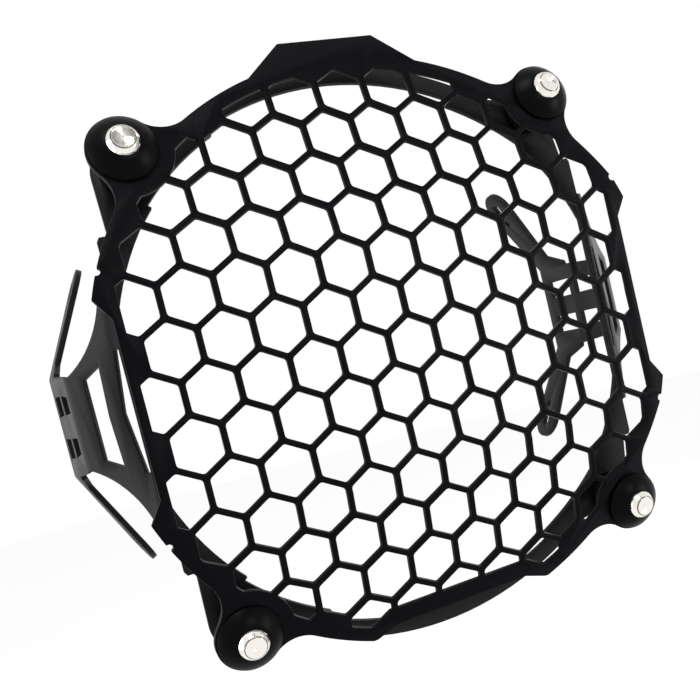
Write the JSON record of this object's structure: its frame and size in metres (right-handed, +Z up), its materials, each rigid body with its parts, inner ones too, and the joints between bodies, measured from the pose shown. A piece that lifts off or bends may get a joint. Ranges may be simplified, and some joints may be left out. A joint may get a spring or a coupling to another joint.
{
  "type": "motorcycle headlight guard",
  "caption": "Folded honeycomb grille held by spacers off a ring frame, whose bent side arms bolt to a round headlight's housing.",
  "frame": {"origin": "middle of the grille, on its front face", "axes": "+X to the right as seen from the front, +Z up, the grille faces -Y"},
  "size_m": [0.2374, 0.1002, 0.2204],
  "materials": {
    "grille_coat": "black satin powder coat",
    "frame_coat": "dark grey satin powder coat",
    "collar": "smooth black",
    "spacer": "smooth black",
    "screw": "bright polished",
    "washer": "plated",
    "nut": "plated"
  },
  "bodies": {
    "root": {"front_grille": "grille_coat", "rear_frame": "frame_coat", "collar_top_left": "collar", "collar_top_right": "collar", "collar_bottom_left": "collar", "collar_bottom_right": "collar", "spacer_top_left": "spacer", "spacer_top_right": "spacer", "spacer_bottom_left": "spacer", "spacer_bottom_right": "spacer", "screws": "screw", "washers": "washer", "nuts": "nut"}
  },
  "joints": []
}
